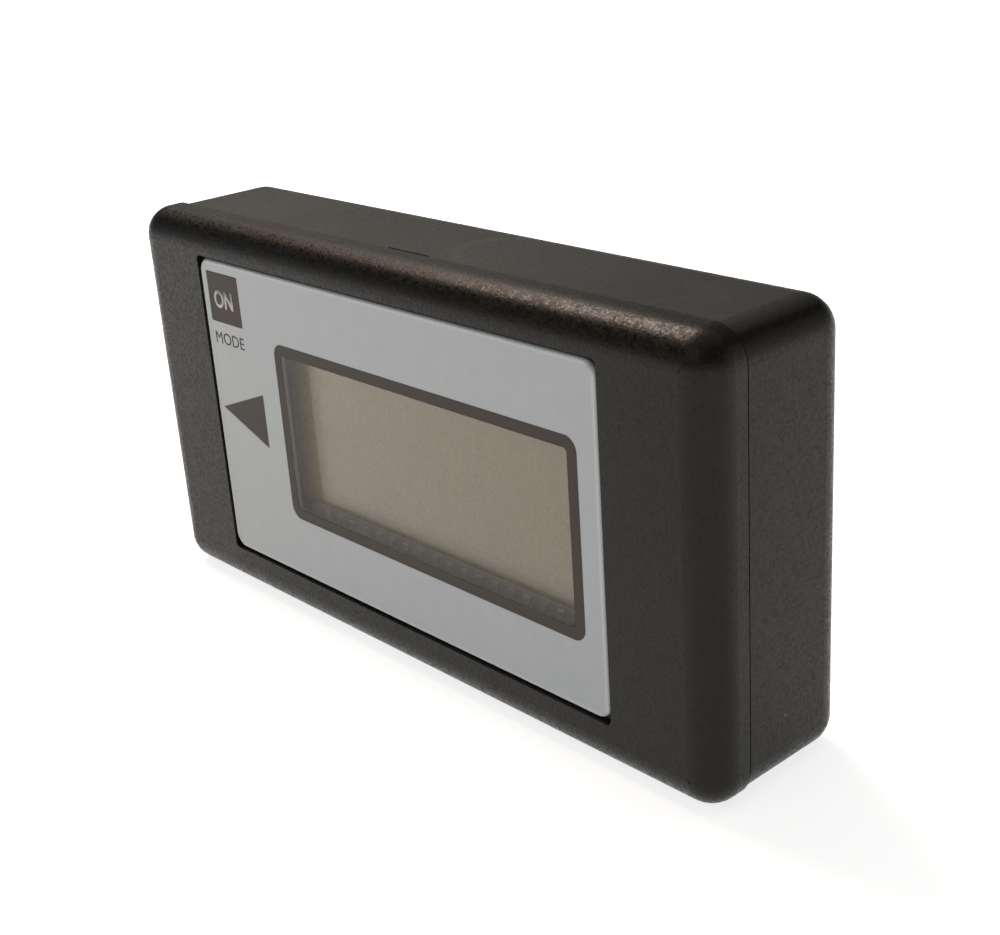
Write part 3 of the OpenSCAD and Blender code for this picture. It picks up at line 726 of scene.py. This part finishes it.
class TACHO_OT_board(bpy.types.Operator):
    """Finishes the circuit board, its screws and its small parts"""

    bl_idname = "tacho.board"
    bl_label = "Board and parts"

    def execute(self, context):
        wear(solder_mask("green_solder_mask"), "circuit_board")
        # Bright zinc: cool and slightly cloudy
        wear(plated_metal("zinc_plated_steel", linear("#B9BBBE"), 0.3, 0.12 * MM),
             "board_screws")
        # Moulded epoxy: dull, with the finest grain of all the plastics here
        wear(grained_plastic("moulded_chip_epoxy", linear("#1C1C1E"), 0.1 * MM, 0.55, 0.008 * MM),
             "controller_chip", "amplifier_chip")
        # Deep-drawn can: glossy, with lines along its length
        wear(plated_metal("drawn_crystal_can", linear("#CFCFD0"), 0.22, 0.1 * MM, (1, 8, 8)),
             "clock_crystal")
        # Shrunk sleeve: smooth dark blue with a soft orange peel
        wear(grained_plastic("shrunk_capacitor_sleeve", linear("#23304F"), 0.4 * MM, 0.35,
                             0.006 * MM), "buffer_capacitor")
        for node, name, colour in (
            ("chip_resistors", "glazed_resistor_film", "#1B1B1A"),
            ("chip_capacitors", "fired_capacitor_ceramic", "#9C7A55"),
        ):
            low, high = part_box(node)
            middle, half = (low.z + high.z) / 2, (high.z - low.z) / 2
            wear(ended_chip(name, linear(colour), middle, half), node)
        return {"FINISHED"}


class TACHO_OT_battery(bpy.types.Operator):
    """Finishes the coin cell, its holder and its contacts"""

    bl_idname = "tacho.battery"
    bl_label = "Battery"

    def execute(self, context):
        # Glass-filled polyester: black, dry and evenly grained
        wear(grained_plastic("moulded_holder_polyester", linear("#202022"), 0.2 * MM, 0.48,
                             0.01 * MM), "battery_holder")
        # Rolled spring strip under nickel: a warm silver with lines along the strip
        wear(plated_metal("nickel_plated_contact", linear("#CDCAC0"), 0.28, 0.12 * MM, (8, 1, 1)),
             "battery_contact_minus", "battery_contact_plus")
        # Pressed stainless cup and lid: bright, with faint drawing lines
        wear(plated_metal("pressed_cell_steel", linear("#C9C9C7"), 0.24, 0.1 * MM, (1, 1, 6)),
             "coin_cell")
        return {"FINISHED"}


class TACHO_OT_pickup(bpy.types.Operator):
    """Finishes the pickup: ferrite rod, bobbin and winding"""

    bl_idname = "tacho.pickup"
    bl_label = "Pickup"

    def execute(self, context):
        # Pressed and sintered powder: a dull, gritty dark grey
        wear(grained_plastic("sintered_ferrite", linear("#3A3836"), 0.15 * MM, 0.6, 0.02 * MM),
             "pickup_rod")
        # Undyed nylon: milky and waxy, with a soft flow texture
        wear(grained_plastic("natural_nylon", linear("#D9D3C0"), 0.4 * MM, 0.4, 0.006 * MM),
             "pickup_bobbin")
        wear(enamelled_winding("enamelled_copper_wire", linear("#B5652F")), "pickup_winding")
        return {"FINISHED"}


# Soft lights: name, direction from the case, distance, width, height, colour and radiance
LIGHTS = [
    ("overhead", (0.0, 0.15, 1.0), 0.7, 0.8, 0.8, (1.0, 1.0, 1.0), 0.35),
    ("left_high", (-0.6, 0.12, 0.79), 0.7, 0.4, 0.12, (1.0, 0.79, 0.66), 17.0),
    ("left_upper", (-0.7, 0.42, 0.55), 0.7, 0.3, 0.25, (1.0, 0.97, 0.85), 0.7),
    ("left_low", (-0.9, -0.3, 0.2), 0.8, 0.6, 0.3, (0.3, 0.65, 1.0), 0.15),
    ("front_high", (0.0, -0.7, 0.7), 0.8, 0.6, 0.5, (1.0, 1.0, 0.92), 0.65),
    ("right_rear", (0.75, 0.6, 0.3), 0.8, 0.6, 0.4, (1.0, 0.93, 0.84), 0.4),
]
# Light that the lit table gives off, as on a photographer's light table: at the case, and farther
# off where the lamps no longer add to it, with the two distances between which it rises
TABLE_RADIANCE = (0.78, 1.05)
TABLE_REACH = (0.06, 0.2)
# The room lights the case with a dim band at the horizon, given by the sine of the height up to
# which it is even and from which only the room light is left. To the camera it is a plain white
# backdrop.
ROOM_BAND = (0.1, 0.3)
BAND_RADIANCE = 0.4


class TACHO_OT_stage(bpy.types.Operator):
    """Sets the floor, the lights and the camera"""

    bl_idname = "tacho.stage"
    bl_label = "Stage"

    def execute(self, context):
        sizes = context.scene.tacho_stage
        scene = context.scene
        # Opal acrylic table top, lit from below: white, even and softly glossy
        made, tree, shader, place = begin("white_table")
        dress(tree, shader, linear("#F6F6F6"), 0.35, Emission_Color=(1.0, 1.0, 1.0, 1.0))
        away = add(tree, "VectorMath", [place], "Value", operation="LENGTH")
        glow = add(tree, "MapRange", [away, *TABLE_REACH, *TABLE_RADIANCE])
        tree.links.new(glow, shader.inputs["Emission Strength"])
        bm = bmesh.new()
        bmesh.ops.create_grid(bm, x_segments=2, y_segments=2, size=sizes.floor_size / 2)
        mesh = bpy.data.meshes.new("floor")
        bm.to_mesh(mesh)
        bm.free()
        mesh.materials.append(made)
        floor = bpy.data.objects.new("floor", mesh)
        scene.collection.objects.link(floor)
        world = bpy.data.worlds.new("studio")
        world.use_nodes = True
        tree = world.node_tree
        height = add(tree, "SeparateXYZ", [add(tree, "TexCoord", out="Generated")], "Z")
        room = tree.nodes["Background"]
        room.inputs["Color"].default_value = (1, 1, 1, 1)
        lit = add(tree, "MapRange", [height, *ROOM_BAND, BAND_RADIANCE, sizes.room_light])
        seen = add(tree, "LightPath", out="Is Camera Ray")
        strength = add(tree, "Math", [lit, seen], operation="MAXIMUM")
        tree.links.new(strength, room.inputs["Strength"])
        scene.world = world
        for name, direction, distance, width, height, colour, radiance in LIGHTS:
            lamp = bpy.data.lights.new(name, "AREA")
            lamp.shape = "RECTANGLE"
            lamp.size = width
            lamp.size_y = height
            lamp.color = colour
            lamp.energy = radiance * math.pi * width * height
            holder = bpy.data.objects.new(name, lamp)
            aim = Vector(direction).normalized()
            holder.location = Vector(LAMP_AIM) + aim * distance
            holder.rotation_euler = aim.to_track_quat("Z", "Y").to_euler()
            holder.visible_camera = False
            scene.collection.objects.link(holder)
        view = bpy.data.cameras.new("camera")
        view.sensor_width = 36
        view.lens = sizes.lens
        view.clip_start = 0.01
        camera = bpy.data.objects.new("camera", view)
        camera.location = CAMERA_PLACE
        camera.rotation_euler = [math.radians(angle) for angle in CAMERA_TURN]
        scene.collection.objects.link(camera)
        scene.camera = camera
        scene.view_settings.view_transform = "Standard"
        return {"FINISHED"}


class TACHO_PT_panel(bpy.types.Panel):
    """Lists the pieces of the tachometer"""

    bl_idname = "TACHO_PT_panel"
    bl_label = "Tachometer"
    bl_space_type = "VIEW_3D"
    bl_region_type = "UI"
    bl_category = "Tachometer"

    def draw(self, context):
        for step in STEPS:
            self.layout.operator(step.bl_idname)
        for name, group in GROUPS.items():
            for prop in group.__annotations__:
                self.layout.prop(getattr(context.scene, name), prop)


GROUPS = {"tacho_case": TachoCase, "tacho_label": TachoLabel, "tacho_stage": TachoStage}
STEPS = [
    TACHO_OT_case, TACHO_OT_label, TACHO_OT_print, TACHO_OT_display, TACHO_OT_key, TACHO_OT_board,
    TACHO_OT_battery, TACHO_OT_pickup, TACHO_OT_stage,
]


def register():
    for made in [*GROUPS.values(), *STEPS, TACHO_PT_panel]:
        bpy.utils.register_class(made)
    for name, group in GROUPS.items():
        setattr(bpy.types.Scene, name, PointerProperty(type=group))


def unregister():
    for name in GROUPS:
        delattr(bpy.types.Scene, name)
    for made in [TACHO_PT_panel, *reversed(STEPS), *reversed(GROUPS.values())]:
        bpy.utils.unregister_class(made)


def main():
    register()
    bpy.ops.tacho.case()
    bpy.ops.tacho.label()
    bpy.ops.tacho.label_print()
    bpy.ops.tacho.display()
    bpy.ops.tacho.key()
    bpy.ops.tacho.board()
    bpy.ops.tacho.battery()
    bpy.ops.tacho.pickup()
    bpy.ops.tacho.stage()


if __name__ == "__main__":
    main()
